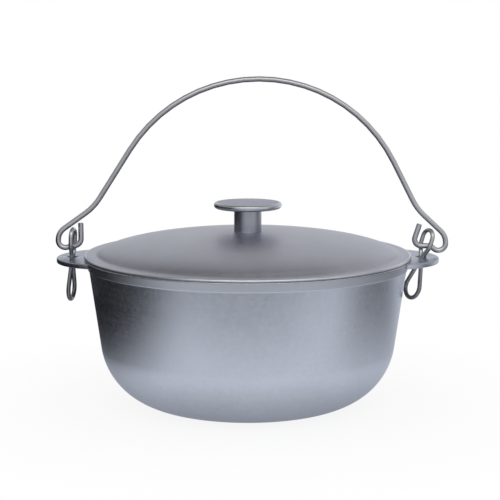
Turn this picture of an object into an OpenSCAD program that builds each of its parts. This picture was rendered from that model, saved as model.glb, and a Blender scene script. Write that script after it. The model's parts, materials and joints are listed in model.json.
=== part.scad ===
// Cast aluminium camp kettle: a wide pot with two half-moon ears, a domed lid
// with a turned knob, and a wire bail whose hooks hang in two wire links.
// Millimetres, +Z up. The origin is on the floor under the middle of the base,
// and +X points to the right-hand ear.

/* [Pot] */
// Outside diameter of the rim that the lid rests on
rim_d = 300; // [260:1:340]
// Height from the base to the top of the rim
pot_h = 136.5; // [115:0.5:170]
// Thickness of the cast wall and base
wall_t = 4; // [3:0.5:6]
// Lean of the wall from the upright, in degrees
wall_lean = 8.1; // [4:0.1:12]
// Radius of the rounded corner between wall and base
corner_r = 63; // [40:1:75]
// Height of the flared band under the rim
band_h = 9; // [7:0.5:14]
// How far the rim stands out beyond the line of the wall
band_flare = 3.4; // [2:0.1:6]
// Ledge at the foot of the band
band_step = 1.1; // [0.5:0.1:1.5]

/* [Ears] */
// Reach of each ear beyond the rim
ear_reach = 25; // [22:0.5:32]
// Radius of the ear's round outline
ear_r = 50; // [36:1:60]
// Thickness of the ear
ear_t = 4.5; // [3.5:0.5:6]
// Drop from the rim to the top of the ear
ear_drop = 0.6; // [0.2:0.1:2]
// Distance from the rim to the middle of the ears' holes, left and right
ear_hole_out = [11, 9]; // [9:0.5:14]
// Diameter of the hole that the link hangs in
ear_hole_d = 10.4; // [10:0.1:12]

/* [Lid] */
// How far the edge of the lid stands back from the edge of the rim
lid_inset = 0.5; // [0.5:0.1:3]
// Thickness of the lid's flat flange
flange_t = 2.8; // [2:0.1:4]
// Width of the flange outside the dome
flange_w = 12; // [5:0.5:14]
// Rise of the dome above the flange
dome_h = 19.9; // [12:0.1:30]
// Thickness of the dome
lid_t = 3.5; // [2.5:0.5:5]
// Depth of the ring that drops into the mouth of the pot
ring_depth = 6; // [4:0.5:10]
// Width of that ring
ring_w = 5; // [2:0.2:6]
// Gap between that ring and the wall of the pot
ring_clear = 1; // [0.5:0.1:2]

/* [Knob] */
// Diameter of the knob's disc
knob_d = 62; // [45:1:75]
// Thickness of the disc
knob_t = 6.2; // [5:0.1:10]
// Diameter of the stem
stem_d = 25; // [20:0.5:32]
// Height of the whole knob
knob_h = 27.2; // [20:0.1:36]
// Diameter of the screw that holds the knob
screw_d = 6; // [4:0.5:8]
// Length of the screw inside the knob
screw_bite = 14; // [8:0.5:16]
// Diameter of the screw's head
screw_head_d = 11; // [10.5:0.5:14]
// Height of the screw's head
screw_head_h = 3.6; // [2.5:0.1:5]
// Diameter of the washer under the screw's head
washer_d = 18; // [15:0.5:22]
// Thickness of the washer
washer_t = 1.5; // [1:0.1:2.5]
// Gap between the screw and the holes that it runs in
screw_clear = 0.15; // [0.1:0.05:0.3]

/* [Bail] */
// Diameter of the bail's wire
bail_d = 5; // [4:0.1:5.2]
// Height of the bail's top above the rim, to the middle of the wire
bail_rise = 161.5; // [140:0.5:190]
// How far the bail's top sits to the right of the pot's middle
bail_shift = 10; // [0:0.5:14]
// Height of the hooks' level run above the ears
pivot_rise = 10; // [9.5:0.1:12]
// Lean of the flares from the upright, left and right, in degrees
flare_lean = [54.5, 47]; // [40:0.5:60]
// Length of the flares, left and right
flare_len = [24, 21]; // [14:0.5:30]
// Radius of the bends above the flares
shoulder_r = 51; // [35:1:65]
// Straight runs between the arch and the shoulder bends, left and right
leg_len = [52, 39]; // [20:1:60]
// Radius of the bends at the foot of the flares, left and right
curl_top_r = [13, 15]; // [9:0.5:17]
// Radius of the curls below them
curl_r = 6.5; // [6:0.1:8]
// Turn of the curls past their lowest point, left and right, in degrees
curl_past = [28, 48]; // [20:1:58]
// Radius of the bends that level the wire out again
level_r = 5; // [4:0.1:6]
// Level run outside the middle of the link, left and right
run_out = [0.2, 6.8]; // [0.2:0.1:8]
// Level run inside the middle of the link, left and right
run_in = [1.5, 0.2]; // [0.2:0.1:3]
// Radius of the bends up into the tails, left and right
tail_r = [6.8, 6]; // [6:0.1:9]
// Turn of the bends up into the tails, left and right, in degrees
tail_turn = [90, 108]; // [60:1:115]
// Length of the straight tails, left and right
tail_len = [14.5, 13]; // [6:0.5:16]

/* [Links] */
// Diameter of the links' wire
link_d = 4; // [3.4:0.1:4]
// Height of the eye's top above the middle of the ear, to the middle of the wire
eye_rise = 27.6; // [26:0.1:28]
// Radius of the round top of the eye
eye_r = 7; // [6.8:0.1:7.5]
// Opening angle of each side of the eye, from the upright, in degrees
eye_open = 30; // [29:0.5:34]
// Depth of the lower loop under the middle of the ear, to the middle of the wire
loop_drop = 37; // [35:0.5:44]
// Radius of the round foot of the lower loop
loop_r = 10; // [8:0.5:11]
// Radius of the small bends beside the ear
waist_r = 6; // [5:0.1:7]
// Gap between the two legs where they pass the ear
waist_gap = 0.4; // [0.3:0.05:0.6]
// Turn of the links about their own length at rest, left and right, in degrees
link_turn = [10, 31]; // [0:1:36]
// Outward lean of the links' eyes at rest, left and right, in degrees
link_lean = [-2.5, 16]; // [-4:0.5:16]

/* [Hidden] */
LEFT = 0;
RIGHT = 1;
$fn = 96;
wire_fn = 40;

// Radius of the small roundings on cast and turned edges
edge_r = 1;
// Radius of the knob's rounded rim, of the lid's upper edge and of the fillet under the knob
knob_edge_r = 2.8;
flange_edge_r = 1.3;
stem_fillet_r = 1.5;
// Steps along a large and along a small rounded outline
arc_steps = 18;
edge_steps = 5;
// How far a cutting shape runs past the face that it cuts
cut = 1;
// A wire's straights are this much slimmer than its bends and lap this far into them,
// so that each meeting of the two is a plain overlap
shave = 0.02;
lap = 0.2;
// Shortest straight between two bends of a wire
bend_gap = 0.5;
// Fullness of the dome: 1 gives an ellipse, and more than 1 a flatter shoulder
dome_power = 1.2;
// The dome's outline ends this many degrees along, just short of the flange
dome_end = 86;
// Flat seat around the knob's stem and around the washer
seat_margin = 1.5;
// Width of the slot in the screw's head
screw_slot_w = 1.6;

rim_r = rim_d / 2;
// The lid is as wide as the rim that it rests on, less its inset
lid_d = rim_d - 2 * lid_inset;
lid_r = lid_d / 2;
ear_top = pot_h - ear_drop;
ear_mid = ear_top - ear_t / 2;
pivot_z = ear_top + pivot_rise;
bail_top = pot_h + bail_rise;
seat_z = pot_h + flange_t + dome_h;
knob_r = knob_d / 2;
stem_r = stem_d / 2;

// Distance from the pot's axis to the hole of the ear on side s
function ear_x(s) = rim_r + ear_hole_out[s];

// Points of an arc about [x, y], from angle a to angle b
function arc(x, y, r, a, b, n) = [
    for (i = [0:n]) let (t = a + (b - a) * i / n)
        [x + r * cos(t), y + r * sin(t)]
];
function reversed(list) = [for (i = [len(list) - 1:-1:0]) list[i]];

// Radius of the wall at height z, t inside its outer face
function wall_r(z, t) = rim_r - band_flare - (pot_h - z) * tan(wall_lean) - t / cos(wall_lean);
corner_x = wall_r(corner_r, 0) - corner_r / cos(wall_lean);
// The bowl's outline t inside its outer face, from the middle of the base to the corner's end
function bowl(t) = concat([[0, t]], arc(corner_x, corner_r, corner_r - t, -90, -wall_lean, arc_steps));

module pot() {
    color("silver")
    difference() {
        union() {
            rotate_extrude() pot_outline();
            for (side = [0, 1])
                mirror([side, 0, 0])
                    ear();
        }
        rotate_extrude()
            polygon(concat(
                bowl(wall_t),
                [[wall_r(pot_h + cut, wall_t), pot_h + cut], [0, pot_h + cut]]
            ));
        for (x = [-ear_x(LEFT), ear_x(RIGHT)])
            translate([x, 0, ear_mid - ear_t])
                cylinder(d = ear_hole_d, h = 2 * ear_t);
    }
}

// Half of the pot's outside, as if it were solid
module pot_outline() {
    band_z = pot_h - band_h;
    polygon(concat(
        bowl(0),
        [[wall_r(band_z, 0), band_z], [wall_r(band_z, 0) + band_step, band_z]],
        arc(rim_r - edge_r, pot_h - edge_r, edge_r, 0, 90, edge_steps),
        [[0, pot_h]]
    ));
}

// Round plate with soft edges, which the wall of the pot cuts to a half-moon
module ear() {
    translate([rim_r + ear_reach - ear_r, 0, ear_top - ear_t])
        rotate_extrude()
            polygon(concat(
                [[0, 0]],
                arc(ear_r - edge_r, edge_r, edge_r, -90, 0, edge_steps),
                arc(ear_r - edge_r, ear_t - edge_r, edge_r, 0, 90, edge_steps),
                [[0, ear_t]]
            ));
}

// A dome of radius r and height h from the rim of its flat seat, outwards and down
function dome(r, h, seat_r) = [
    for (i = [1:arc_steps]) let (t = dome_end * i / arc_steps)
        if (r * sin(t) > seat_r) [r * sin(t), h * pow(cos(t), dome_power)]
];
function raised(points, z) = [for (p = points) [p[0], p[1] + z]];

ring_out = wall_r(pot_h - ring_depth, wall_t) - ring_clear;
knob_seat_r = stem_r + seat_margin;
washer_seat_r = washer_d / 2 + seat_margin;

module lid() {
    inside_h = flange_t + dome_h - lid_t;
    color("lightslategray")
    translate([0, 0, pot_h])
        difference() {
            rotate_extrude()
                polygon(concat(
                    [[0, flange_t + dome_h], [knob_seat_r, flange_t + dome_h]],
                    raised(dome(lid_r - flange_w, dome_h, knob_seat_r), flange_t),
                    [[lid_r - flange_w + edge_r, flange_t]],
                    arc(lid_r - flange_edge_r, flange_t - flange_edge_r, flange_edge_r, 90, 0, edge_steps),
                    [[lid_r, edge_r / 2], [lid_r - edge_r / 2, 0]],
                    [[ring_out, 0], [ring_out, -ring_depth], [ring_out - ring_w, -ring_depth]],
                    reversed(dome(ring_out - ring_w, inside_h, washer_seat_r)),
                    [[washer_seat_r, inside_h], [0, inside_h]]
                ));
            cylinder(r = screw_d / 2 + screw_clear, h = seat_z);
        }
}

module knob() {
    disc_z = knob_h - knob_t;
    color("gainsboro")
    translate([0, 0, seat_z])
        difference() {
            rotate_extrude()
                polygon(concat(
                    [[0, 0], [stem_r - edge_r / 2, 0], [stem_r, edge_r / 2]],
                    arc(stem_r + stem_fillet_r, disc_z - stem_fillet_r, stem_fillet_r, 180, 90, edge_steps),
                    arc(knob_r - knob_edge_r, disc_z + knob_edge_r, knob_edge_r, -90, 0, edge_steps),
                    arc(knob_r - knob_edge_r, knob_h - knob_edge_r, knob_edge_r, 0, 90, edge_steps),
                    [[0, knob_h]]
                ));
            translate([0, 0, -cut])
                cylinder(r = screw_d / 2 + screw_clear, h = cut + screw_bite + edge_r);
        }
}

module knob_washer() {
    color("darkgray")
    translate([0, 0, seat_z - lid_t - washer_t])
        difference() {
            cylinder(d = washer_d, h = washer_t);
            translate([0, 0, -cut])
                cylinder(r = screw_d / 2 + screw_clear, h = washer_t + 2 * cut);
        }
}

// Slotted screw, up through the washer and the lid into the knob
module knob_screw() {
    shank = washer_t + lid_t + screw_bite;
    color("dimgray")
    translate([0, 0, seat_z - lid_t - washer_t])
        difference() {
            union() {
                cylinder(d = screw_d, h = shank);
                rotate_extrude()
                    polygon(concat(
                        [[0, 0], [0, -screw_head_h]],
                        arc(screw_head_d / 2 - edge_r, edge_r - screw_head_h, edge_r, -90, 0, edge_steps),
                        [[screw_head_d / 2, 0]]
                    ));
            }
            translate([-screw_head_d, -screw_slot_w / 2, -screw_head_h - cut])
                cube([2 * screw_head_d, screw_slot_w, cut + screw_head_h / 2]);
        }
}

// Wire of diameter d along a chain of steps in the XZ plane, starting along +X.
// A step is [0, length] for a straight, or [radius, angle] for a bend, which turns
// down for a positive radius and up for a negative one. The chain starts with a bend.
module wire(steps, d, closed = false, i = 0) {
    if (i < len(steps)) {
        r = abs(steps[i][0]);
        a = steps[i][1];
        down = steps[i][0] >= 0;
        if (r == 0) {
            end_lap = closed || i < len(steps) - 1 ? lap : 0;
            translate([-lap, 0, 0])
                rotate([0, 90, 0])
                    cylinder(d = d - shave, h = a + lap + end_lap, $fn = wire_fn);
            translate([a, 0, 0])
                wire(steps, d, closed, i + 1);
        } else {
            mirror([0, 0, down ? 0 : 1])
                translate([0, 0, -r])
                    rotate([90, 0, 0])
                        rotate([0, 0, 90 - a])
                            rotate_extrude(angle = a)
                                translate([r, 0])
                                    circle(d = d, $fn = wire_fn);
            translate([r * sin(a), 0, (down ? -1 : 1) * r * (1 - cos(a))])
                rotate([0, (down ? 1 : -1) * a, 0])
                    wire(steps, d, closed, i + 1);
        }
    }
}

// Half of the bail on one side, worked out from the hook upwards in [outward, up]
function hook_start(s) = [ear_x(s) + run_out[s], pivot_z];
function curl_end(s) = hook_start(s)
    + level_r * [sin(curl_past[s]), cos(curl_past[s]) - 1]
    + bend_gap * [cos(curl_past[s]), -sin(curl_past[s])];
function curl_out(s) = curl_end(s) + curl_r * [1 + sin(curl_past[s]), cos(curl_past[s])];
function flare_foot(s) = curl_out(s) + [0, bend_gap]
    + curl_top_r[s] * [cos(flare_lean[s]) - 1, sin(flare_lean[s])];
function shoulder(s) = flare_foot(s)
    + flare_len[s] * [-sin(flare_lean[s]), cos(flare_lean[s])]
    + shoulder_r * [cos(flare_lean[s]), sin(flare_lean[s])];
function arch_start(s) = [(s == LEFT ? -bail_shift : bail_shift) + bend_gap / 2, bail_top];
// The arch is tangent to a level line at its top and to the leg's straight run at its end
function arch_r(s) = let (v = shoulder(s) - arch_start(s))
    (v * v - pow(shoulder_r, 2) - pow(leg_len[s], 2)) / (2 * (shoulder_r - v[1]));
function leg_lean(s) = let (v = shoulder(s) - arch_start(s) + [0, arch_r(s)])
    atan2(v[1], v[0]) + atan(leg_len[s] / (arch_r(s) + shoulder_r));

function bail_steps(s) = [
    [arch_r(s), 90 - leg_lean(s)],
    [0, leg_len[s]],
    [-shoulder_r, flare_lean[s] - leg_lean(s)],
    [0, flare_len[s]],
    [curl_top_r[s], flare_lean[s]],
    [0, bend_gap],
    [curl_r, 90 + curl_past[s]],
    [0, bend_gap],
    [-level_r, curl_past[s]],
    [0, run_out[s] + run_in[s]],
    [tail_r[s], tail_turn[s]],
    [0, tail_len[s]]
];

module bail() {
    color("gray") {
        for (s = [LEFT, RIGHT])
            mirror([s == LEFT ? 1 : 0, 0, 0])
                translate([arch_start(s)[0], 0, bail_top])
                    wire(bail_steps(s), bail_d);
        translate([bail_shift - bend_gap / 2 - lap, 0, bail_top])
            rotate([0, 90, 0])
                cylinder(d = bail_d - shave, h = bend_gap + 2 * lap, $fn = wire_fn);
    }
}

// One leg of a link from the eye's round top down to the loop's round foot.
// The middle of the ear is at height 0, and the legs pass it side by side.
waist_x = (link_d + waist_gap) / 2;
waist_top = ear_t / 2 + edge_r / 2;
waist_foot = -ear_t / 2 - edge_r;
eye_slant = (eye_r - waist_x - 2 * waist_r * (1 - cos(eye_open))) / sin(eye_open);
eye_side = eye_rise - eye_r - waist_top - 2 * waist_r * sin(eye_open) - eye_slant * cos(eye_open);
// Each side of the lower loop is tangent to the bend beside the ear and to the round foot
loop_span = [waist_x + waist_r, waist_foot + loop_drop - loop_r];
loop_slant = sqrt(loop_span * loop_span - pow(waist_r + loop_r, 2));
loop_open = atan2(loop_span[1], loop_span[0]) - atan(loop_slant / (waist_r + loop_r));
leg_steps = [
    [0, eye_side],
    [waist_r, eye_open],
    [0, eye_slant],
    [-waist_r, eye_open],
    [0, waist_top - waist_foot],
    [-waist_r, loop_open],
    [0, loop_slant]
];
link_steps = concat([[eye_r, 180]], leg_steps, [[loop_r, 180 + 2 * loop_open]], reversed(leg_steps));

// A link in its place on the right-hand side, with the values of side s
module link(s) {
    translate([ear_x(s), 0, ear_mid])
        rotate([0, link_lean[s], 0])
            rotate([0, 0, link_turn[s] - 90])
                translate([-eye_r, 0, eye_rise - eye_r])
                    rotate([0, -90, 0])
                        wire(link_steps, link_d, closed = true);
}

module link_left() {
    color("dimgray")
        mirror([1, 0, 0])
            link(LEFT);
}

module link_right() {
    color("dimgray")
        link(RIGHT);
}

pot();
lid();
knob();
knob_washer();
knob_screw();
bail();
link_left();
link_right();
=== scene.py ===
import json
import math

import bpy
from mathutils import Matrix, Vector


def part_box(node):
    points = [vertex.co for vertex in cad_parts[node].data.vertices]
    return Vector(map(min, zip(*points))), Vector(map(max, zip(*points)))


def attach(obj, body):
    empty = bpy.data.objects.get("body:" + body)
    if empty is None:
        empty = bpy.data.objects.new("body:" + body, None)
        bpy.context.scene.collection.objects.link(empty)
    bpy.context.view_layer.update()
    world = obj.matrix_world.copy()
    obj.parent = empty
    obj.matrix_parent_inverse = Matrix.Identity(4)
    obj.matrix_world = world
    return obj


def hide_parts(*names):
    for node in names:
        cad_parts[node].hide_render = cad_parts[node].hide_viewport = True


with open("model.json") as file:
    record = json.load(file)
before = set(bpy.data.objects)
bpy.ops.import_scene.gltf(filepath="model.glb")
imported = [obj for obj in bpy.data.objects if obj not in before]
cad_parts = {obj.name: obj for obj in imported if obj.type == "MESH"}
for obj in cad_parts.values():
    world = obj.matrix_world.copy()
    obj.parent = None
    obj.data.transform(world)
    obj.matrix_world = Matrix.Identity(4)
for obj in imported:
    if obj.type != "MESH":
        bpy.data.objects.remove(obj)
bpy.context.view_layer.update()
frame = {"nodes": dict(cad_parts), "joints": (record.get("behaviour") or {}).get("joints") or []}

# Shapes are worked out in millimetres and made in metres
MM = 0.001
QUARTER = math.pi / 2
LEFT, RIGHT = 0, 1
# A point's mark: painted shade, plain, or rubbed bright
SHADED, PLAIN, WORN = -1, 0, 1


def top(node):
    """Height of a CAD node's highest point."""
    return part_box(node)[1].z / MM


def reach(node):
    """How far a CAD node goes to the right."""
    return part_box(node)[1].x / MM


joint_place = {j["name"]: Vector(j["pos_m"]) / MM for j in frame["joints"] if "pos_m" in j}

# Pot
pot_h = top("pot")
rim_r = 150
rim_edge_r = 0.7
wall_t = 4
wall_lean = math.radians(8.1)
corner_r = 63
edge_r = 1
band_h = 9
band_flare = 3.4
band_step = 1.1
band_z = pot_h - band_h
# Roundings inside and outside the ledge at the band's foot
ledge_fillet_r = 0.2
ledge_edge_r = 0.8

# Ears
ear_tip = reach("pot")
ear_r = 50
ear_t = 4.5
ear_centre = ear_tip - ear_r
ear_mid = joint_place["link_left_turn"].z
ear_x = (-joint_place["link_left_turn"].x, joint_place["link_right_turn"].x)
ear_hole_r = 5.2
ear_hole_edge_r = 0.9
ear_root_r = 2.5
ear_side_r = 8
# Distances from the pot's axis, inside the wall, where an ear's root ends and where its sides end
ear_root_end = 144.5
ear_side_end = 147.8
# Middle of the fillet by which an ear's side runs into the wall: its distance from the pot's axis
# and from the ear's own centre, and its place
side_reach = ear_side_end + ear_side_r
side_gap = ear_r + ear_side_r
side_x = (side_reach ** 2 - side_gap ** 2 + ear_centre ** 2) / (2 * ear_centre)
side_y = math.sqrt(side_reach ** 2 - side_x ** 2)
side_angle = math.atan2(side_y, side_x)

# Lid
lid_r = reach("lid")
lid_t = 3.5
seat_z = top("lid")
seat_margin = 1.5
seat_bevel = 0.3
washer_r = 9
screw_hole_r = 3.15
flange_t = 2.8
flange_w = 12
flange_edge_r = 1.3
flange_under_r = 0.9
ring_depth = 6
ring_w = 5
ring_clear = 1
ring_edge_r = 0.7
ring_fillet_r = 0.5
dome_r = lid_r - flange_w
dome_h = seat_z - pot_h - flange_t
dome_power = 1.2
dome_blend = 1.3
# Share of the dome's radius where its curve, which would end upright, runs on as a slope
dome_end = 0.995

# Knob
knob_r = reach("knob")
knob_top = top("knob")
knob_t = 6.2
knob_crown = 0.25
# The underside of the knob's disc rises outwards, and its rim is rounder below than above
knob_under_rise = 0.4
knob_under_r = 3.2
knob_upper_r = 2.2
stem_r = 12.5
stem_foot_r = 0.4
stem_fillet_r = 1.5
screw_hole_h = 15

# Bail, with its left and right values
bail_d = 5
bail_shift = 10
bail_top = top("bail") - bail_d / 2
pivot_z = joint_place["bail_swing"].z
flare_lean = (math.radians(54.5), math.radians(47))
flare_len = (24, 21)
shoulder_r = 51
leg_len = (52, 39)
curl_top_r = (13, 15)
curl_r = 6.5
curl_past = (math.radians(28), math.radians(48))
level_r = 5
run_out = (0.2, 6.8)
run_in = (1.5, 0.2)
tail_r = (6.8, 6)
tail_turn = (math.radians(90), math.radians(108))
tail_len = (14.5, 13)
bend_gap = 0.5

# Links, with their left and right values
link_d = 4
eye_rise = 27.6
eye_r = 7
eye_open = math.radians(30)
loop_drop = 37
loop_r = 10
waist_r = 6
waist_gap = 0.4
link_turn = (math.radians(10), math.radians(31))
link_lean = (math.radians(-2.5), math.radians(16))

# Fineness of the meshes: points around, steps along a curve, and millimetres between other points
casting_around = 192
knob_around = 128
hole_around = 64
bail_around = 32
link_around = 28
corner_steps = 40
edge_steps = 6
lid_edge_steps = 8
knob_edge_steps = 10
hole_edge_steps = 5
ear_steps = 95
dome_rings = 90
hollow_rings = 70
hollow_step = math.radians(1.25)
casting_spacing = 6
knob_spacing = 3
wire_spacing = 6
wire_bend_step = math.radians(6)


# Outlines: points (x, z, wear and painted shade), counter-clockwise around the metal, with convex edges
# worn

def arc(x, z, r, start, end, steps, wear_and_shade=PLAIN):
    angles = [start + (end - start) * i / steps for i in range(steps + 1)]
    return [(x + r * math.cos(a), z + r * math.sin(a), wear_and_shade) for a in angles]


def rounded(corners, steps=edge_steps):
    """An open outline of corners (x, z, radius), each with a radius replaced by an arc."""
    outline = []
    for i, (x, z, r) in enumerate(corners):
        if r == 0:
            outline.append((x, z, PLAIN))
            continue
        here = Vector((x, z))
        before = (Vector(corners[i - 1][:2]) - here).normalized()
        after = (Vector(corners[i + 1][:2]) - here).normalized()
        half = before.angle(after) / 2
        middle = here + (before + after).normalized() * (r / math.sin(half))
        first = here + before * (r / math.tan(half)) - middle
        turn = math.pi - 2 * half
        convex = before.x * after.y - before.y * after.x < 0
        start = math.atan2(first.y, first.x)
        end = start + (turn if convex else -turn)
        outline += arc(middle.x, middle.y, r, start, end, steps, WORN if convex else PLAIN)
    return outline


def dense(outline, spacing):
    """The same outline with its long straights divided, and close to their ends too, where the
    wear of an edge fades."""
    fade = 0.7
    out = [outline[0]]
    for (x0, z0, _), (x1, z1, wear_and_shade) in zip(outline, outline[1:]):
        length = math.hypot(x1 - x0, z1 - z0)
        parts = max(1, round(length / spacing))
        shares = [k / parts for k in range(1, parts)]
        if length > spacing / 2:
            shares = [fade / length] + shares + [1 - fade / length]
        out += [(x0 + (x1 - x0) * t, z0 + (z1 - z0) * t, PLAIN) for t in shares]
        out.append((x1, z1, wear_and_shade))
    return out


# Meshes

def make_mesh(name, points, faces, wear_and_shade, grain):
    """A smooth mesh with how worn each point is and its painted shade, and its grain: two coordinates
    around the way it was made and one along it."""
    crease = math.radians(40)
    mesh = bpy.data.meshes.new(name)
    mesh.from_pydata([Vector(p) * MM for p in points], [], faces)
    mesh.attributes.new("wear_and_shade", "FLOAT", "POINT").data.foreach_set("value", wear_and_shade)
    flat = [c * MM for g in grain for c in g]
    mesh.attributes.new("grain", "FLOAT_VECTOR", "POINT").data.foreach_set("vector", flat)
    mesh.shade_smooth()
    mesh.set_sharp_from_angle(angle=crease)
    return mesh


def lathe(name, outline, segments, closed=False, centre=(0, 0)):
    """A surface of revolution about a vertical axis. Its grain runs around as on a drum."""
    drum_r = 100
    points, wear_and_shade, grain, rings, faces = [], [], [], [], []
    along = 0
    for i, (x, z, w) in enumerate(outline):
        if i:
            along += math.hypot(x - outline[i - 1][0], z - outline[i - 1][1])
        count = 1 if x == 0 else segments
        rings.append(range(len(points), len(points) + count))
        for k in range(count):
            angle = 2 * math.pi * k / count
            c, s = math.cos(angle), math.sin(angle)
            points.append((centre[0] + x * c, centre[1] + x * s, z))
            wear_and_shade.append(w)
            grain.append((drum_r * c, drum_r * s, along))
    followers = rings[1:] + (rings[:1] if closed else [])
    for low, high in zip(rings, followers):
        for k in range(segments):
            n = (k + 1) % segments
            quad = (low[k % len(low)], low[n % len(low)], high[n % len(high)], high[k % len(high)])
            faces.append(tuple(dict.fromkeys(quad)))
    return make_mesh(name, points, faces, wear_and_shade, grain)


def wire_path(start, heading, steps):
    """Points (x, z, heading) along straights (0, length) and bends (radius, angle), where a
    positive radius turns clockwise."""
    x, z = start
    path = [(x, z, heading)]
    for r, amount in steps:
        parts = max(1, math.ceil(amount / (wire_spacing if r == 0 else wire_bend_step)))
        for k in range(parts):
            if r == 0:
                x += amount / parts * math.cos(heading)
                z += amount / parts * math.sin(heading)
            else:
                after = heading - math.copysign(amount / parts, r)
                x += r * (math.sin(heading) - math.sin(after))
                z += r * (math.cos(after) - math.cos(heading))
                heading = after
            path.append((x, z, heading))
    return path


def tube(name, path, place, r, around, closed=False):
    """A round wire along a path in the XZ plane, put in place by a matrix. Open ends are chamfered."""
    turn = place.to_3x3()

    def forward(heading):
        return turn @ Vector((math.cos(heading), 0, math.sin(heading)))

    stations = [(place @ Vector((x, 0, z)), heading, r, PLAIN) for x, z, heading in path]
    if closed:
        stations.pop()
    else:
        chamfer = r / 5
        (start, start_heading, *_), (end, end_heading, *_) = stations[0], stations[-1]
        stations[0] = (start + forward(start_heading) * chamfer, start_heading, r, WORN)
        stations[-1] = (end - forward(end_heading) * chamfer, end_heading, r, WORN)
        stations.insert(0, (start, start_heading, r - chamfer, WORN))
        stations.append((end, end_heading, r - chamfer, WORN))
    points, wear_and_shade, grain, faces = [], [], [], []
    along = 0
    for i, (middle, heading, radius, worn) in enumerate(stations):
        if i:
            along += (middle - stations[i - 1][0]).length
        normal = forward(heading + QUARTER)
        side = forward(heading).cross(normal)
        for k in range(around):
            angle = 2 * math.pi * k / around
            c, s = math.cos(angle), math.sin(angle)
            points.append(middle + radius * (c * normal + s * side))
            wear_and_shade.append(worn)
            grain.append((r * c, r * s, along))
    count = len(stations)
    for i in range(count if closed else count - 1):
        low, high = i * around, (i + 1) % count * around
        for k in range(around):
            n = (k + 1) % around
            faces.append((low + k, low + n, high + n, high + k))
    if not closed:
        faces.append(tuple(reversed(range(around))))
        faces.append(tuple(range((count - 1) * around, count * around)))
    return make_mesh(name, points, faces, wear_and_shade, grain)


def add_object(mesh):
    obj = bpy.data.objects.new(mesh.name, mesh)
    bpy.context.scene.collection.objects.link(obj)
    return obj


def dress(obj, body, node, material):
    """Makes a new piece stand for a CAD node, on its body and with its finish."""
    obj.data.materials.append(material)
    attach(obj, body)
    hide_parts(node)


# Pot

def wall_r(z, t):
    """Radius of the wall at a height, t inside its outer face."""
    return rim_r - band_flare - (pot_h - z) * math.tan(wall_lean) - t / math.cos(wall_lean)


def bowl(t):
    """The rounded corner and the wall's lower end, t inside the outer face."""
    x = wall_r(corner_r, 0) - corner_r / math.cos(wall_lean)
    return arc(x, corner_r, corner_r - t, -QUARTER, -wall_lean, corner_steps)


def band_r(z):
    """Radius of the flared band under the rim."""
    low_r = wall_r(band_z, 0) + band_step
    return low_r + (rim_r - low_r) * (z - band_z) / (band_h - edge_r)


def band_shade(x, z, wear_and_shade):
    """Marks of a point of the pot: its band gets painted shade under the lid, except at the lower edge."""
    lower_edge_h = 0.9
    skin = 0.5
    if z < band_z or x < band_r(z) - skin:
        return wear_and_shade
    return SHADED if z > band_z + lower_edge_h else PLAIN


def pot_outline():
    outside, inside = bowl(0), bowl(wall_t)[::-1]
    rim = rounded([
        outside[-1][:2] + (0,),
        (wall_r(band_z, 0), band_z, ledge_fillet_r),
        (band_r(band_z), band_z, ledge_edge_r),
        (rim_r, pot_h - edge_r / 4, rim_edge_r),
        (rim_r - edge_r, pot_h, 0),
        (wall_r(pot_h, wall_t), pot_h, edge_r),
        inside[0][:2] + (0,),
    ])
    outline = [(0, 0, PLAIN)] + outside + rim[1:-1] + inside + [(0, wall_t, PLAIN)]
    return [(x, z, band_shade(x, z, w)) for x, z, w in dense(outline, casting_spacing)]


def ear_edge(angle):
    """Distance from the pot's axis to the ear's edge, at an angle around that axis: the edge is
    round, and past the angle where it is left it follows the fillet."""
    share = ear_r / side_gap
    leave = math.atan2(side_y * share, ear_centre + (side_x - ear_centre) * share)
    if abs(angle) < leave:
        return ear_centre * math.cos(angle) + math.sqrt(ear_r ** 2 - (ear_centre * math.sin(angle)) ** 2)
    off = abs(angle) - side_angle
    return side_reach * math.cos(off) - math.sqrt(ear_side_r ** 2 - (side_reach * math.sin(off)) ** 2)


def ear_section(edge):
    """The ear cut upright through the pot's axis, from its hidden root around its edge and back.
    Where the edge runs into the wall, the fillet at the root shrinks and draws back into it."""
    least_root_r = 0.05
    edge_room = 1.5 * edge_r
    high, low = ear_mid + ear_t / 2, ear_mid - ear_t / 2
    inner = edge - edge_room
    root_r = min(ear_root_r, max(least_root_r, (inner - band_r(low)) / 3))
    drop = 2 * root_r
    root = min(band_r(low), inner - drop)
    return rounded([
        (ear_root_end, low - drop, 0),
        (root + band_r(low - drop) - band_r(low), low - drop, 0),
        (root, low, root_r),
        (inner, low, 0),
        (edge, low, edge_r),
        (edge, high, edge_r),
        (inner, high, 0),
        (ear_root_end, high, 0),
    ])


def ear_plate(sign):
    """An ear as sections around the pot's axis, with no hole yet. Its skin gets half as much painted
    shade as the band, and its grain is each point's own place."""
    points, wear_and_shade, faces = [], [], []
    for i in range(ear_steps + 1):
        angle = side_angle * (2 * i / ear_steps - 1)
        section = ear_section(ear_edge(angle))
        for x, z, w in section:
            points.append((sign * x * math.cos(angle), sign * x * math.sin(angle), z))
            # Painted shade, half as much as on the band, and none on the rounded edges
            wear_and_shade.append((SHADED + w) / 2)
    size = len(section)
    for i in range(ear_steps):
        for k in range(size):
            n = (k + 1) % size
            faces.append((i * size + k, (i + 1) * size + k, (i + 1) * size + n, i * size + n))
    faces.append(tuple(range(size)))
    faces.append(tuple(reversed(range(ear_steps * size, len(points)))))
    return make_mesh("ear_plate", points, faces, wear_and_shade, points)


def ear_hole_outline():
    """Outline of what an ear's round hole takes away, wider at both faces of the ear."""
    flare = ear_hole_edge_r
    low = ear_mid - ear_t / 2
    half = [(0, low - flare, PLAIN), (ear_hole_r + 2 * flare, low - flare, PLAIN)]
    half += arc(ear_hole_r + flare, low + flare, flare, -1.5 * QUARTER, -2 * QUARTER, hole_edge_steps, WORN)
    return half + [(x, 2 * ear_mid - z, w) for x, z, w in reversed(half)]


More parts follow.
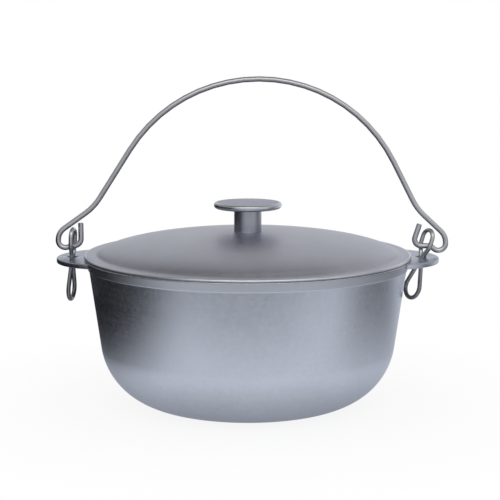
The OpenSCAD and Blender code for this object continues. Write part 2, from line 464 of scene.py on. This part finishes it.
def ear_mesh(side):
    """An ear with the round hole for its link."""
    sign = -1 if side == LEFT else 1
    plate = add_object(ear_plate(sign))
    hole = lathe("ear_hole", ear_hole_outline(), hole_around, centre=(sign * ear_x[side], 0))
    cutter = add_object(hole)
    cut = plate.modifiers.new("hole", "BOOLEAN")
    cut.operation = "DIFFERENCE"
    cut.solver = "EXACT"
    cut.object = cutter
    cut_plate = plate.evaluated_get(bpy.context.evaluated_depsgraph_get())
    mesh = bpy.data.meshes.new_from_object(cut_plate)
    bpy.data.objects.remove(plate)
    bpy.data.objects.remove(cutter)
    return mesh


# Lid

def dome_z(x):
    """Height of the lid's upper face above its underside, with a soft turn from dome to flange."""
    end = dome_r * dome_end
    rise = dome_h * (1 - (min(x, end) / dome_r) ** 2) ** (dome_power / 2) - max(0, x - end)
    return flange_t + (rise + math.hypot(rise, dome_blend)) / 2


def lid_hollow(r):
    """The hollow's outline from the screw's hole past the washer's flat seat, outwards and down."""
    h = flange_t + dome_h - lid_t
    washer_seat_r = washer_r + seat_margin
    angles = [hollow_step * i for i in range(hollow_rings)]
    curve = [(r * math.sin(a), h * math.cos(a) ** dome_power, PLAIN) for a in angles]
    seat = [(screw_hole_r, h, PLAIN), (washer_seat_r, h, PLAIN)]
    return seat + [point for point in curve if point[0] > washer_seat_r]


def lid_top(outer):
    """The upper face from the flange to the knob's flat seat, with more points near the flange."""
    crowding = 1.6
    seat_r = stem_r + seat_margin
    shares = [(i / dome_rings) ** crowding for i in range(1, dome_rings + 1)]
    radii = [outer + (seat_r - outer) * share for share in shares]
    high = flange_t + dome_h
    seat = [(seat_r - seat_bevel, high, PLAIN), (screw_hole_r, high, PLAIN)]
    return [(x, dome_z(x), PLAIN) for x in radii] + seat


def lid_outline():
    """The lid's closed outline. The outside of its flange's underside is darkened with painted shade."""
    ring_out = wall_r(pot_h - ring_depth, wall_t) - ring_clear
    ring_in = ring_out - ring_w
    flat_r = lid_r - 2 * flange_edge_r
    hollow = lid_hollow(ring_in)
    edge = rounded([
        hollow[-1][:2] + (0,),
        (ring_in, -ring_depth, ring_fillet_r),
        (ring_out, -ring_depth, ring_edge_r),
        (ring_out, 0, ring_fillet_r),
        (lid_r, 0, flange_under_r),
        (lid_r, flange_t, flange_edge_r),
        (flat_r, flange_t, 0),
    ], lid_edge_steps)
    # Outside the ring, the flange's underside is painted darker: painted shade under the flange
    shade_from = ring_out + 1
    edge = [(x, z, SHADED if x > shade_from and z < flange_t / 2 else w) for x, z, w in edge]
    outline = hollow + edge[1:] + lid_top(flat_r)
    return dense([(x, z + pot_h, w) for x, z, w in outline], casting_spacing)


# Knob

def knob_outline():
    disc_z = knob_top - knob_t
    outline = rounded([
        (0, seat_z + screw_hole_h, 0),
        (screw_hole_r, seat_z + screw_hole_h, 0),
        (screw_hole_r, seat_z, 0),
        (stem_r, seat_z, stem_foot_r),
        (stem_r, disc_z, stem_fillet_r),
        (knob_r, disc_z + knob_under_rise, knob_under_r),
        (knob_r, knob_top - knob_crown, knob_upper_r),
        (knob_r / 2, knob_top - knob_crown / 4, 0),
        (0, knob_top, 0),
    ], knob_edge_steps)
    return dense(outline, knob_spacing)


# Bail

def bail_half(side):
    """Path of one half from the top of the arch to the end of its tail, in outward and upward
    directions. It is worked out from the hook upwards."""
    past, lean = curl_past[side], flare_lean[side]
    hook = Vector((ear_x[side] + run_out[side], pivot_z))
    curl_end = hook + level_r * Vector((math.sin(past), math.cos(past) - 1))
    curl_end += bend_gap * Vector((math.cos(past), -math.sin(past)))
    curl_out = curl_end + curl_r * Vector((1 + math.sin(past), math.cos(past)))
    flare_foot = curl_out + Vector((0, bend_gap))
    flare_foot += curl_top_r[side] * Vector((math.cos(lean) - 1, math.sin(lean)))
    shoulder = flare_foot + flare_len[side] * Vector((-math.sin(lean), math.cos(lean)))
    shoulder += shoulder_r * Vector((math.cos(lean), math.sin(lean)))
    start = Vector((-bail_shift if side == LEFT else bail_shift, bail_top))
    span = shoulder - start - Vector((bend_gap / 2, 0))
    arch_r = (span.length_squared - shoulder_r ** 2 - leg_len[side] ** 2) / (2 * (shoulder_r - span.y))
    leg_lean = math.atan2(span.y + arch_r, span.x) + math.atan(leg_len[side] / (arch_r + shoulder_r))
    return wire_path(start, 0, [
        (0, bend_gap / 2),
        (arch_r, QUARTER - leg_lean),
        (0, leg_len[side]),
        (-shoulder_r, lean - leg_lean),
        (0, flare_len[side]),
        (curl_top_r[side], lean),
        (0, bend_gap),
        (curl_r, QUARTER + past),
        (0, bend_gap),
        (-level_r, past),
        (0, run_out[side] + run_in[side]),
        (tail_r[side], tail_turn[side]),
        (0, tail_len[side]),
    ])


def bail_mesh():
    left = [(-x, z, -heading) for x, z, heading in reversed(bail_half(LEFT))]
    path = left[:-1] + bail_half(RIGHT)
    return tube("bail_wire", path, Matrix.Identity(4), bail_d / 2, bail_around)


# Links

def link_path():
    """Closed path of a link: the eye's round top, a leg, the loop's round foot and the other leg.
    The middle of the ear is at height 0, and the legs pass it side by side."""
    waist_x = (link_d + waist_gap) / 2
    waist_top = ear_t / 2 + edge_r / 2
    waist_foot = -ear_t / 2 - edge_r
    slant = (eye_r - waist_x - 2 * waist_r * (1 - math.cos(eye_open))) / math.sin(eye_open)
    side = eye_rise - eye_r - waist_top - 2 * waist_r * math.sin(eye_open) - slant * math.cos(eye_open)
    span = Vector((waist_x + waist_r, waist_foot + loop_drop - loop_r))
    loop_slant = math.sqrt(span.length_squared - (waist_r + loop_r) ** 2)
    loop_open = math.atan2(span.y, span.x) - math.atan(loop_slant / (waist_r + loop_r))
    leg = [
        (0, side),
        (waist_r, eye_open),
        (0, slant),
        (-waist_r, eye_open),
        (0, waist_top - waist_foot),
        (-waist_r, loop_open),
        (0, loop_slant),
    ]
    steps = [(eye_r, math.pi)] + leg + [(loop_r, math.pi + 2 * loop_open)] + leg[::-1]
    return wire_path((-eye_r, eye_rise - eye_r), QUARTER, steps)


def link_mesh(name, side):
    """A link in its ear. The left one is worked out on the right and mirrored."""
    turned = Matrix.Rotation(link_turn[side] - QUARTER, 4, "Z")
    leaned = Matrix.Rotation(link_lean[side], 4, "Y")
    place = Matrix.Translation((ear_x[side], 0, ear_mid)) @ leaned @ turned
    if side == LEFT:
        place = Matrix.Scale(-1, 4, (1, 0, 0)) @ place
    return tube(name, link_path(), place, link_d / 2, link_around, closed=True)


# Materials

class Shader:
    """A metal's node tree, built one node at a time. Its glancing colour dims what it reflects at
    glancing angles."""

    def __init__(self, name, glancing=(1, 1, 1, 1)):
        self.material = bpy.data.materials.new(name)
        self.material.use_nodes = True
        self.tree = self.material.node_tree
        self.surface = self.tree.nodes["Principled BSDF"]
        self.surface.inputs["Metallic"].default_value = 1
        self.surface.inputs["Specular Tint"].default_value = glancing
        self.coordinates = self.add("ShaderNodeTexCoord")
        self.place = self.coordinates.outputs["Object"]

    def add(self, kind, inputs=None, **settings):
        node = self.tree.nodes.new(kind)
        for name, value in settings.items():
            setattr(node, name, value)
        for key, value in (inputs or {}).items():
            self.feed(node, key, value)
        return node

    def feed(self, node, key, value):
        """Sets an input, or links it where the value is another node's output."""
        if isinstance(value, bpy.types.NodeSocket):
            self.tree.links.new(value, node.inputs[key])
        else:
            node.inputs[key].default_value = value

    def attribute(self, name, output):
        return self.add("ShaderNodeAttribute", attribute_name=name).outputs[output]

    def noise(self, vector, scale, detail, roughness=0.5):
        """Noise from 0 to 1, with its own scale along each axis."""
        stretched = self.add("ShaderNodeVectorMath", {0: vector, 1: scale}, operation="MULTIPLY")
        inputs = {"Vector": stretched.outputs[0], "Scale": 1, "Detail": detail, "Roughness": roughness}
        return self.add("ShaderNodeTexNoise", inputs).outputs["Fac"]

    def level(self, value, low, high, start=0.3, end=0.7):
        """The value's span from start to end, brought to the span from low to high."""
        inputs = {"Value": value, "From Min": start, "From Max": end, "To Min": low, "To Max": high}
        return self.add("ShaderNodeMapRange", inputs).outputs[0]

    def math(self, operation, a, b):
        return self.add("ShaderNodeMath", {0: a, 1: b}, operation=operation).outputs[0]

    def mix(self, factor, a, b):
        """A colour between two. The node's sockets go by number, because their names repeat."""
        node = self.add("ShaderNodeMix", {0: factor, 6: a, 7: b}, data_type="RGBA")
        return node.outputs[2]

    def bump(self, height, strength, depth, under=None):
        """A bumpy normal, with the depth in millimetres, over another one if that is given."""
        inputs = {"Height": height, "Strength": strength, "Distance": depth * MM}
        if under is not None:
            inputs["Normal"] = under
        return self.add("ShaderNodeBump", inputs).outputs["Normal"]

    def finish(self, colour, roughness, normal):
        self.feed(self.surface, "Base Color", colour)
        self.feed(self.surface, "Roughness", roughness)
        self.feed(self.surface, "Normal", normal)
        return self.material


def cast_metal(name, dark, light, worn, shade, glancing, rough, line_scale):
    """Cast aluminium, turned on a lathe and blasted: fine lines, soft blotches, parts darkened with
    painted shade, and brighter edges."""
    shader = Shader(name, glancing)
    grain = shader.attribute("grain", "Vector")
    wear_and_shade = shader.attribute("wear_and_shade", "Fac")
    lines = shader.noise(grain, (9, 9, line_scale), detail=5, roughness=0.65)
    blotches = shader.noise(shader.place, (26, 26, 26), detail=4, roughness=0.6)
    mottle = shader.noise(shader.place, (260, 260, 260), detail=3, roughness=0.6)
    pits = shader.noise(shader.place, (900, 900, 900), detail=2)
    tone = shader.math("ADD", shader.level(lines, 0, 0.3), shader.level(blotches, 0, 0.3))
    tone = shader.math("ADD", tone, shader.level(mottle, 0, 0.4))
    lightened = shader.level(wear_and_shade, 0, 1, PLAIN, WORN)
    edges = shader.math("MULTIPLY", lightened, shader.level(blotches, 0.35, 1))
    # The darker colour mixed in here is painted shade under the lid, on the band, ears and flange
    shading = shader.level(wear_and_shade, 1, 0, SHADED, PLAIN)
    plain = shader.mix(shading, shader.mix(tone, dark, light), shade)
    colour = shader.mix(edges, plain, worn)
    uneven = shader.math("ADD", shader.level(lines, -0.04, 0.04), shader.level(mottle, -0.04, 0.04))
    roughness = shader.math("ADD", uneven, shader.level(edges, rough, rough - 0.1, 0, 1))
    normal = shader.bump(lines, strength=0.3, depth=0.02)
    normal = shader.bump(pits, strength=0.35, depth=0.03, under=normal)
    return shader.finish(colour, roughness, normal)


def turned_metal(name, dark, light, worn, glancing, rough):
    """Aluminium turned to a finer finish, with the tool's rings and brighter edges."""
    shader = Shader(name, glancing)
    grain = shader.attribute("grain", "Vector")
    wear_and_shade = shader.attribute("wear_and_shade", "Fac")
    rings = shader.noise(grain, (6, 6, 1500), detail=4, roughness=0.6)
    blotches = shader.noise(shader.place, (90, 90, 90), detail=4, roughness=0.6)
    tone = shader.math("ADD", shader.level(rings, 0, 0.5), shader.level(blotches, 0, 0.5))
    edges = shader.math("MULTIPLY", wear_and_shade, 0.6)
    colour = shader.mix(edges, shader.mix(tone, dark, light), worn)
    uneven = shader.math("ADD", shader.level(rings, -0.05, 0.05), shader.level(blotches, -0.03, 0.05))
    roughness = shader.math("ADD", uneven, shader.level(wear_and_shade, rough, rough - 0.07, 0, 1))
    return shader.finish(colour, roughness, shader.bump(rings, strength=0.5, depth=0.03))


def wire_metal(name, dark, light, ear_shade, rough):
    """Drawn steel wire: streaks along its length, painted shade on undersides, a painted highlight on
    upper sides, and painted shade on what hangs below the ears."""
    # How far below the ears' middle the painted shade deepens
    ear_shade_depth = 0.02
    shader = Shader(name)
    grain = shader.attribute("grain", "Vector")
    streaks = shader.noise(grain, (900, 900, 25), detail=4, roughness=0.6)
    patches = shader.noise(shader.place, (70, 70, 70), detail=4, roughness=0.65)
    facing = shader.add("ShaderNodeSeparateXYZ", {0: shader.coordinates.outputs["Normal"]})
    # Painted light: upper sides are coloured lighter and undersides darker, by the way each faces
    upward = shader.level(facing.outputs["Z"], 0, 0.95, -0.6, 0.55)
    uneven = shader.math("ADD", shader.level(streaks, -0.06, 0.06), shader.level(patches, -0.08, 0.08))
    lightened = shader.mix(shader.math("ADD", upward, uneven), dark, light)
    height = shader.add("ShaderNodeSeparateXYZ", {0: shader.place}).outputs["Z"]
    # Painted shade: wire hanging below the ears is coloured darker
    ear_shaded = shader.level(height, 0.8, 0, ear_mid * MM - ear_shade_depth, ear_mid * MM)
    colour = shader.mix(ear_shaded, lightened, ear_shade)
    patchy = shader.level(patches, rough + 0.08, rough - 0.08)
    roughness = shader.math("ADD", shader.level(streaks, -0.05, 0.05), patchy)
    return shader.finish(colour, roughness, shader.bump(streaks, strength=0.15, depth=0.01))


def plated_metal(name, dark, light, rough):
    """Zinc-plated steel with a faint spangle and light scratches."""
    shader = Shader(name)
    spangle = shader.noise(shader.place, (500, 500, 500), detail=3, roughness=0.7)
    scratches = shader.noise(shader.place, (2500, 180, 300), detail=3, roughness=0.6)
    colour = shader.mix(shader.level(spangle, 0, 1), dark, light)
    roughness = shader.level(scratches, rough - 0.06, rough + 0.1)
    return shader.finish(colour, roughness, shader.bump(scratches, strength=0.4, depth=0.02))


pot_metal = cast_metal(
    "pot_metal",
    dark=(0.44, 0.48, 0.565, 1),
    light=(0.54, 0.58, 0.67, 1),
    worn=(0.74, 0.77, 0.82, 1),
    # The darker colour is painted shade on the band and ears
    shade=(0.355, 0.38, 0.44, 1),
    glancing=(0.8, 0.82, 0.88, 1),
    rough=0.34,
    line_scale=1300,
)
lid_metal = cast_metal(
    "lid_metal",
    dark=(0.435, 0.452, 0.53, 1),
    light=(0.565, 0.582, 0.672, 1),
    worn=(0.74, 0.76, 0.81, 1),
    # The darker colour is painted shade under the flange
    shade=(0.3, 0.31, 0.34, 1),
    glancing=(0.9, 0.91, 0.93, 1),
    rough=0.45,
    line_scale=900,
)
knob_metal = turned_metal(
    "knob_metal",
    dark=(0.3, 0.31, 0.36, 1),
    light=(0.42, 0.43, 0.49, 1),
    worn=(0.76, 0.78, 0.83, 1),
    glancing=(0.71, 0.725, 0.8, 1),
    rough=0.32,
)
wire_finish = wire_metal(
    "wire_metal",
    # Dark and light are the colours of the painted undersides and painted upper sides
    dark=(0.25, 0.255, 0.275, 1),
    light=(0.67, 0.68, 0.72, 1),
    # Colour of the painted shade below the ears
    ear_shade=(0.15, 0.15, 0.165, 1),
    rough=0.28,
)
fixing_metal = plated_metal(
    "fixing_metal",
    dark=(0.42, 0.42, 0.43, 1),
    light=(0.52, 0.52, 0.53, 1),
    rough=0.32,
)

# Pieces

pot = add_object(lathe("pot_casting", pot_outline(), casting_around))
ears = [add_object(ear_mesh(side)) for side in (LEFT, RIGHT)]
with bpy.context.temp_override(active_object=pot, selected_editable_objects=[pot] + ears):
    bpy.ops.object.join()
dress(pot, "pot", "pot", pot_metal)

lid = add_object(lathe("lid_casting", lid_outline(), casting_around, closed=True))
dress(lid, "lid", "lid", lid_metal)
knob = add_object(lathe("knob_turning", knob_outline(), knob_around))
dress(knob, "lid", "knob", knob_metal)

bail = add_object(bail_mesh())
dress(bail, "bail", "bail", wire_finish)
for side, link_name in ((LEFT, "link_left"), (RIGHT, "link_right")):
    link = add_object(link_mesh(link_name + "_wire", side))
    dress(link, link_name, link_name, wire_finish)

for fixing in ("knob_washer", "knob_screw"):
    cad_mesh = frame["nodes"][fixing].data
    cad_mesh.materials.clear()
    cad_mesh.materials.append(fixing_metal)

# Stage: a pale floor, a white surround, and two screens that only reflections see

# In metres and degrees
floor_half = 6
floor_z = -0.0003
floor_white = 0.88
shadow_near, shadow_far = 0.12, 0.4
plain_light = 0.85
screen_around = 96
turns = [360 * k / screen_around for k in range(screen_around)]
table_z = 0.0002
table_inner_r = 0.03
table_growth = 1.1
table_steps = 40
table_radii = [table_inner_r * table_growth ** k for k in range(table_steps)]
room_r = table_radii[-1]
room_step = 3
room_top = 89.5
room_heights = [*range(0, 90, room_step), room_top]
warm_tint = (0, 0.02, 0.07)


def seen(tree):
    """1 for rays from the camera, from reflections and through glass."""
    path = tree.nodes.new("ShaderNodeLightPath")
    either = path.outputs["Is Camera Ray"]
    for name in ("Is Glossy Ray", "Is Transmission Ray"):
        most = tree.nodes.new("ShaderNodeMath")
        most.operation = "MAXIMUM"
        tree.links.new(either, most.inputs[0])
        tree.links.new(path.outputs[name], most.inputs[1])
        either = most.outputs[0]
    return either


def floor_material():
    """Pale paint that shows as white to the camera and in reflections, and keeps soft shadows."""
    material = bpy.data.materials.new("floor_paint")
    material.use_nodes = True
    tree = material.node_tree
    paint = tree.nodes["Principled BSDF"]
    paint.inputs["Base Color"].default_value = (0.86, 0.86, 0.86, 1)
    paint.inputs["Roughness"].default_value = 0.9
    paint.inputs["Specular IOR Level"].default_value = 0
    white = tree.nodes.new("ShaderNodeEmission")
    distance = tree.nodes.new("ShaderNodeVectorMath")
    distance.operation = "LENGTH"
    tree.links.new(tree.nodes.new("ShaderNodeTexCoord").outputs["Object"], distance.inputs[0])
    fade = tree.nodes.new("ShaderNodeMapRange")
    fade.interpolation_type = "SMOOTHSTEP"
    fade.inputs["From Min"].default_value = shadow_near
    fade.inputs["From Max"].default_value = shadow_far
    fade.inputs["To Min"].default_value = floor_white
    fade.inputs["To Max"].default_value = 1
    tree.links.new(distance.outputs["Value"], fade.inputs["Value"])
    share = tree.nodes.new("ShaderNodeMath")
    share.operation = "MULTIPLY"
    tree.links.new(seen(tree), share.inputs[0])
    tree.links.new(fade.outputs[0], share.inputs[1])
    mix = tree.nodes.new("ShaderNodeMixShader")
    tree.links.new(share.outputs[0], mix.inputs[0])
    tree.links.new(paint.outputs[0], mix.inputs[1])
    tree.links.new(white.outputs[0], mix.inputs[2])
    tree.links.new(mix.outputs[0], tree.nodes["Material Output"].inputs["Surface"])
    return material


def glow_material():
    """A glow as bright as a screen's points say."""
    material = bpy.data.materials.new("screen_glow")
    material.use_nodes = True
    tree = material.node_tree
    brightness = tree.nodes.new("ShaderNodeAttribute")
    brightness.attribute_name = "brightness"
    glow = tree.nodes.new("ShaderNodeEmission")
    tree.links.new(brightness.outputs["Color"], glow.inputs["Color"])
    tree.links.new(glow.outputs[0], tree.nodes["Material Output"].inputs["Surface"])
    return material


def add_floor():
    corners = [(x * floor_half, y * floor_half, floor_z) for x, y in ((-1, -1), (1, -1), (1, 1), (-1, 1))]
    mesh = bpy.data.meshes.new("floor")
    mesh.from_pydata(corners, [], [(0, 1, 2, 3)])
    mesh.materials.append(floor_material())
    obj = add_object(mesh)


def add_screen(name, rings, material):
    """A surface of rings of points, each (x, y, z) and a brightness (r, g, b), which only
    reflections see."""
    count = len(rings[0])
    points = [point for ring in rings for point in ring]
    faces = []
    for i in range(len(rings) - 1):
        for k in range(count):
            n = (k + 1) % count
            faces.append((i * count + k, i * count + n, (i + 1) * count + n, (i + 1) * count + k))
    mesh = bpy.data.meshes.new(name)
    mesh.from_pydata([place for place, light in points], [], faces)
    glow = [c for place, light in points for c in (*light, 1)]
    mesh.attributes.new("brightness", "FLOAT_COLOR", "POINT").data.foreach_set("color", glow)
    mesh.materials.append(material)
    obj = add_object(mesh)
    obj.visible_camera = False
    obj.visible_diffuse = False
    obj.visible_transmission = False
    obj.visible_volume_scatter = False
    obj.visible_shadow = False


def ramp(value, start, end):
    """A soft rise from 0 at start to 1 at end."""
    t = min(1, max(0, (value - start) / (end - start)))
    return t * t * (3 - 2 * t)


def sector(angle, middle, full, none):
    """1 up to full degrees from the middle of a sector of the room, and 0 past none. Angles are
    counted from the front."""
    off = abs((angle - middle + 180) % 360 - 180)
    return 1 - ramp(off, full, none)


def table_brightness(x, y):
    """The floor as the metal sees it. Each part is darker by its own share, from 0 to 1."""
    radius = math.hypot(x, y)
    under_pot = 0.58 * (1 - ramp(radius, 0.06, 0.21))
    left = 0.99 * ramp(0.35 * y - x, 0.06, 0.355)
    front = 0.65 * ramp(-y, 0.22, 0.42) * (1 - ramp(radius, 0.6, 0.9))
    right = 0.85 * ramp(x, 0.09, 0.5) * ramp(y, -0.3, -0.1) * (1 - ramp(y, 0.1, 0.4))
    return (1 - under_pot) * (1 - left) * (1 - front) * (1 - right)


def room_brightness(angle, height):
    """The room above the floor: bright low at the back, and with a lamp high in front. Each other
    part is darker by its own share, from 0 to 1."""
    overhead = 0.74 * ramp(height, 14, 75)
    left = (0.97 - 0.55 * ramp(height, 8, 35)) * sector(angle, middle=-100, full=40, none=65)
    front = 0.3 * (1 - ramp(height, 30, 60)) * sector(angle, middle=0, full=25, none=70)
    right = 0.55 * (1 - ramp(height, 15, 50)) * sector(angle, middle=95, full=15, none=50)
    lamp_height = ramp(height, 35, 45) * (1 - ramp(height, 55, 65))
    lamp = 0.9 * lamp_height * sector(angle, middle=0, full=30, none=60)
    return (1 - overhead) * (1 - left) * (1 - front) * (1 - right) + lamp


def towards(turn, height, radius):
    """The point at an angle around from the front, an angle above the floor and a distance."""
    around, up = math.radians(turn), math.radians(height)
    across = radius * math.cos(up)
    return across * math.sin(around), -across * math.cos(around), radius * math.sin(up)


def table_point(turn, radius):
    x, y, _ = towards(turn, 0, radius)
    light = table_brightness(x, y)
    return (x, y, table_z), (light, light, light)


def room_point(turn, height):
    """A point of the room, which is warmer higher up."""
    light = room_brightness(turn, height)
    warm = ramp(height, 15, 50)
    return towards(turn, height, room_r), [light * (1 - warm * less) for less in warm_tint]


def softbox(name, place, target, width, height, watts):
    data = bpy.data.lights.new(name, "AREA")
    data.shape = "RECTANGLE"
    data.size = width
    data.size_y = height
    data.energy = watts
    lamp = bpy.data.objects.new(name, data)
    lamp.location = place
    lamp.rotation_euler = (Vector(target) - Vector(place)).to_track_quat("-Z", "Y").to_euler()
    bpy.context.scene.collection.objects.link(lamp)


screen_glow = glow_material()
add_floor()
table_rings = [[table_point(turn, radius) for turn in turns] for radius in table_radii]
add_screen("table_screen", table_rings, screen_glow)
room_rings = [[room_point(turn, height) for turn in turns] for height in room_heights]
add_screen("room_screen", room_rings, screen_glow)
softbox("key", place=(0.1, -1.2, 0.95), target=(0, 0, 0.15), width=0.9, height=0.5, watts=4)

world = bpy.data.worlds.new("surround")
bpy.context.scene.world = world
world.use_nodes = True
sky = world.node_tree.nodes["Background"]
sky.inputs["Color"].default_value = (1, 1, 1, 1)
strength = world.node_tree.nodes.new("ShaderNodeMapRange")
strength.inputs["To Min"].default_value = plain_light
strength.inputs["To Max"].default_value = 1
world.node_tree.links.new(seen(world.node_tree), strength.inputs["Value"])
world.node_tree.links.new(strength.outputs[0], sky.inputs["Strength"])

# Camera, at the photograph's angle and framing

camera_aim = Vector((0, 0, pot_h * MM))
camera_elevation = math.radians(8.74)
camera_distance = 1.468
camera_data = bpy.data.cameras.new("camera")
camera_data.sensor_width = 36
camera_data.lens = 115.2
camera_data.shift_x = 0.0044
camera_data.shift_y = 0.01176
camera = bpy.data.objects.new("camera", camera_data)
back = Vector((0, -math.cos(camera_elevation), math.sin(camera_elevation)))
camera.location = camera_aim + camera_distance * back
camera.rotation_euler = (QUARTER - camera_elevation, 0, 0)
bpy.context.scene.collection.objects.link(camera)
bpy.context.scene.camera = camera
bpy.context.scene.view_settings.view_transform = "Standard"
